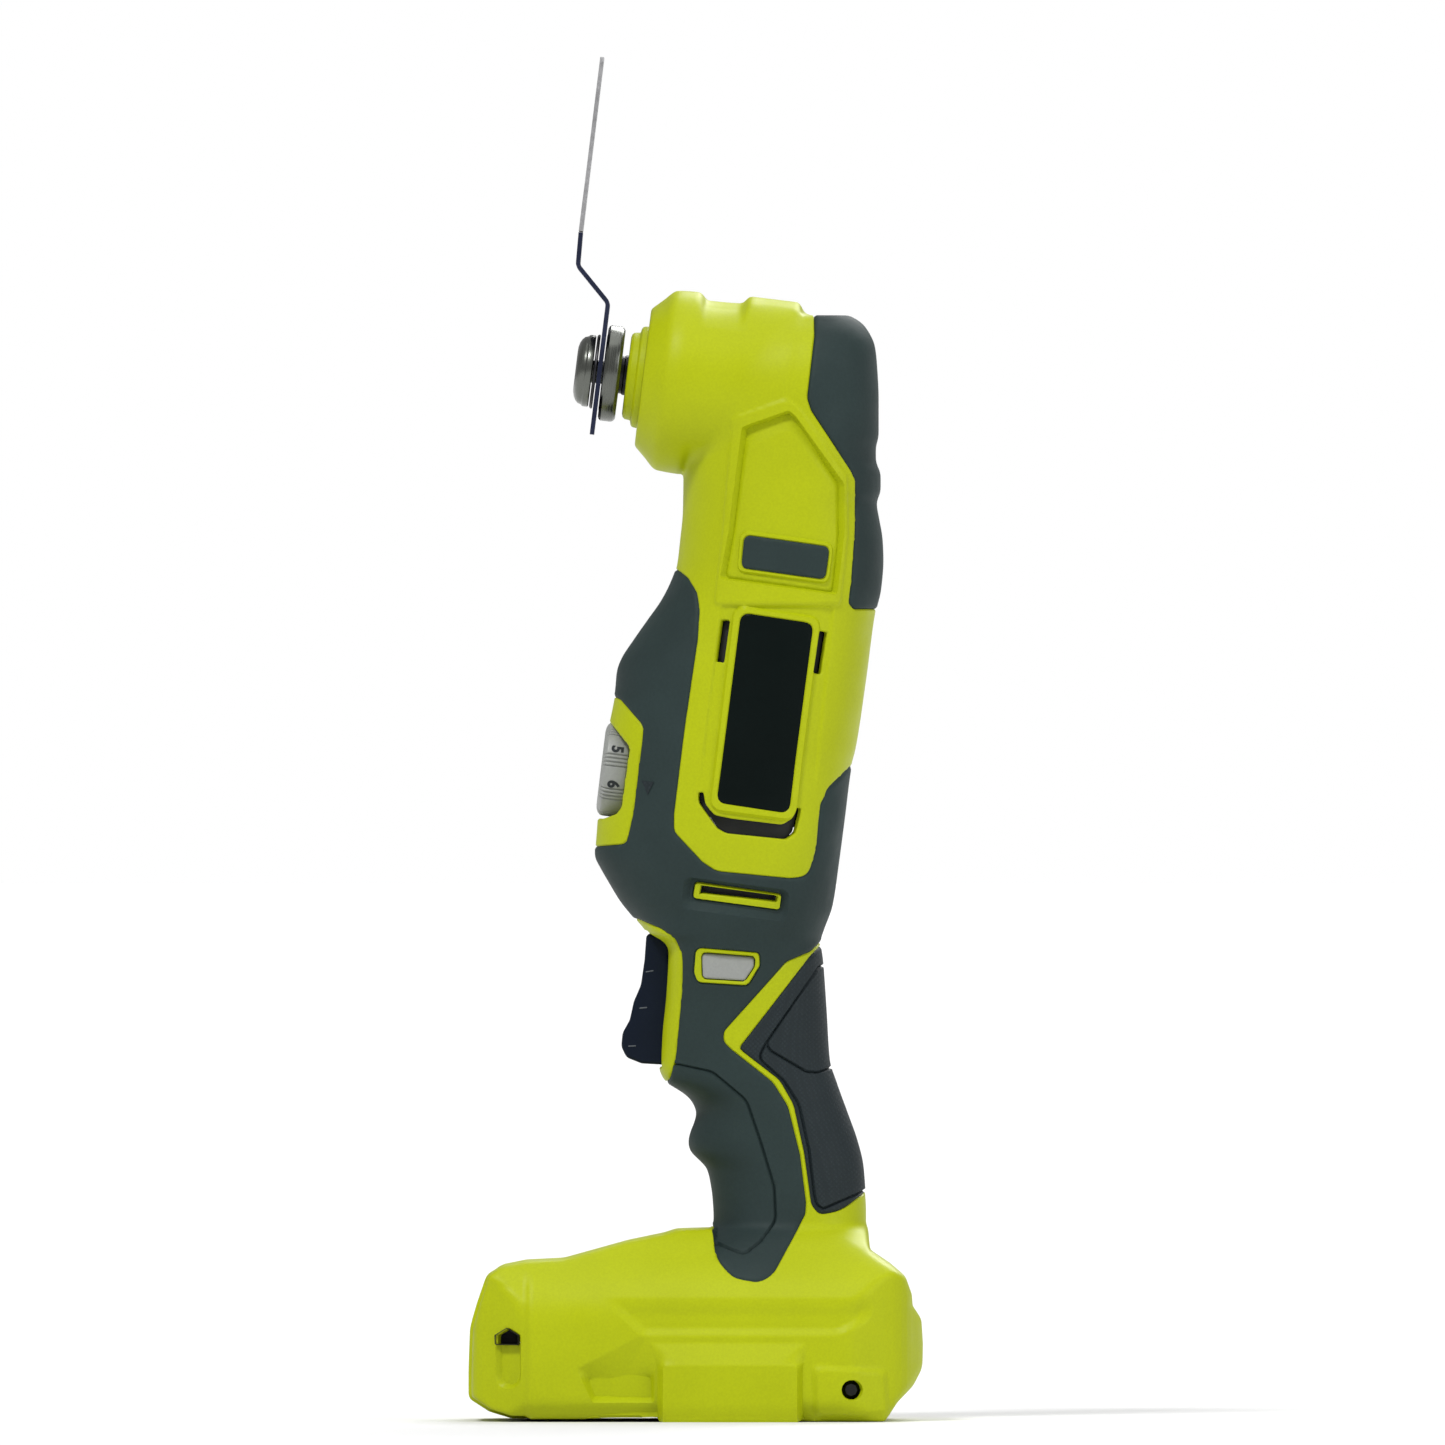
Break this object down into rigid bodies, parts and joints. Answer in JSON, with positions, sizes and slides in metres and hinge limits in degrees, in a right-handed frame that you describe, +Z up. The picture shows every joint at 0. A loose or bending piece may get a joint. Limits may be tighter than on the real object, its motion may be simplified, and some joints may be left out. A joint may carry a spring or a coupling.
{
  "type": "oscillating multi tool",
  "caption": "Cordless oscillating multi tool with a plunge blade, leaning barrel, speed dial, slide trigger, cross lock and an empty battery foot it stands on.",
  "frame": {"origin": "on the surface the battery foot stands on, under the middle of the foot's length and width", "axes": "+Z up through the handle to the head; the blade, trigger and dial face -X; +Y is the tool's right side, seen by someone looking along -X"},
  "size_m": [0.1139, 0.0776, 0.3408],
  "materials": {
    "lime_plastic": "fine texture, satin",
    "soft_grip": "matt elastomer",
    "textured_grip": "stippled elastomer",
    "black_plastic": "satin",
    "label_film": "smooth",
    "light_grey_plastic": "satin",
    "spindle_steel": "turned",
    "dark_steel": "blackened",
    "blade_steel": "ground",
    "cast_aluminium": "as cast",
    "magnet": "sintered",
    "copper": "bright",
    "circuit_board": "satin",
    "red_insulation": "satin",
    "black_insulation": "satin",
    "white_nylon": "satin"
  },
  "bodies": {
    "housing": {"housing_left": "lime_plastic", "housing_right": "lime_plastic", "head_collar": "lime_plastic", "body_grip_left": "soft_grip", "body_grip_right": "soft_grip", "head_bumper_left": "soft_grip", "head_bumper_right": "soft_grip", "side_pad_left": "soft_grip", "side_pad_right": "soft_grip", "rear_grip_left": "textured_grip", "rear_grip_right": "textured_grip", "dial_carrier": "black_plastic", "dial_potentiometer": "black_plastic", "switch_body": "black_plastic", "motor_end_cap": "black_plastic", "fan_shroud": "black_plastic", "terminal_block": "black_plastic", "spindle_seal": "black_plastic", "label_left": "label_film", "label_right": "label_film", "spindle_front_bearing": "spindle_steel", "spindle_rear_bearing": "spindle_steel", "motor_front_bearing": "spindle_steel", "motor_can": "dark_steel", "housing_screw_1": "dark_steel", "housing_screw_2": "dark_steel", "housing_screw_3": "dark_steel", "housing_screw_4": "dark_steel", "housing_screw_5": "dark_steel", "housing_screw_6": "dark_steel", "housing_screw_7": "dark_steel", "gear_case": "cast_aluminium", "motor_magnet_front": "magnet", "motor_magnet_rear": "magnet", "terminal_positive": "copper", "terminal_signal": "copper", "terminal_negative": "copper", "control_board": "circuit_board", "battery_lead_red": "red_insulation", "motor_lead_red": "red_insulation", "battery_lead_black": "black_insulation", "motor_lead_black": "black_insulation"},
    "spindle_unit": {"spindle": "dark_steel", "tool_holder": "spindle_steel", "drive_fork": "cast_aluminium", "blade_shank": "dark_steel", "blade_edge": "blade_steel"},
    "clamp": {"clamp_bolt": "spindle_steel", "clamp_washer": "dark_steel"},
    "rotor": {"motor_shaft": "spindle_steel", "armature": "copper", "commutator": "copper", "cooling_fan": "white_nylon", "eccentric_sleeve": "spindle_steel", "eccentric_bearing": "spindle_steel", "balance_weight": "dark_steel"},
    "dial": {"speed_dial": "light_grey_plastic"},
    "trigger_unit": {"trigger": "black_plastic", "trigger_plunger": "white_nylon"},
    "lock": {"lock_button": "light_grey_plastic"}
  },
  "joints": [
    {"name": "spindle_swing", "type": "hinge", "parent": "housing", "child": "spindle_unit", "pos_m": [0.0267, 0, 0.25575], "axis": [0.9925, 0, -0.1219], "range_deg": [-1.6, 1.6]},
    {"name": "clamp_release", "type": "slide", "parent": "spindle_unit", "child": "clamp", "axis": [-0.9925, 0, 0.1219], "range_m": [0, 0.02]},
    {"name": "rotor_spin", "type": "hinge", "parent": "housing", "child": "rotor", "pos_m": [0.0267, 0, 0.25575], "axis": [0.1219, 0, 0.9925], "continuous": true},
    {"name": "dial_turn", "type": "hinge", "parent": "housing", "child": "dial", "pos_m": [0.01473, 0, 0.15828], "axis": [0.9925, 0, -0.1219], "range_deg": [0, 220]},
    {"name": "trigger_pull", "type": "slide", "parent": "housing", "child": "trigger_unit", "axis": [1, 0, 0], "range_m": [0, 0.006], "stiffness_N_per_m": 1200, "springref_m": -0.002},
    {"name": "lock_slide", "type": "slide", "parent": "housing", "child": "lock", "axis": [0, 1, 0], "range_m": [-0.002, 0.002]}
  ]
}
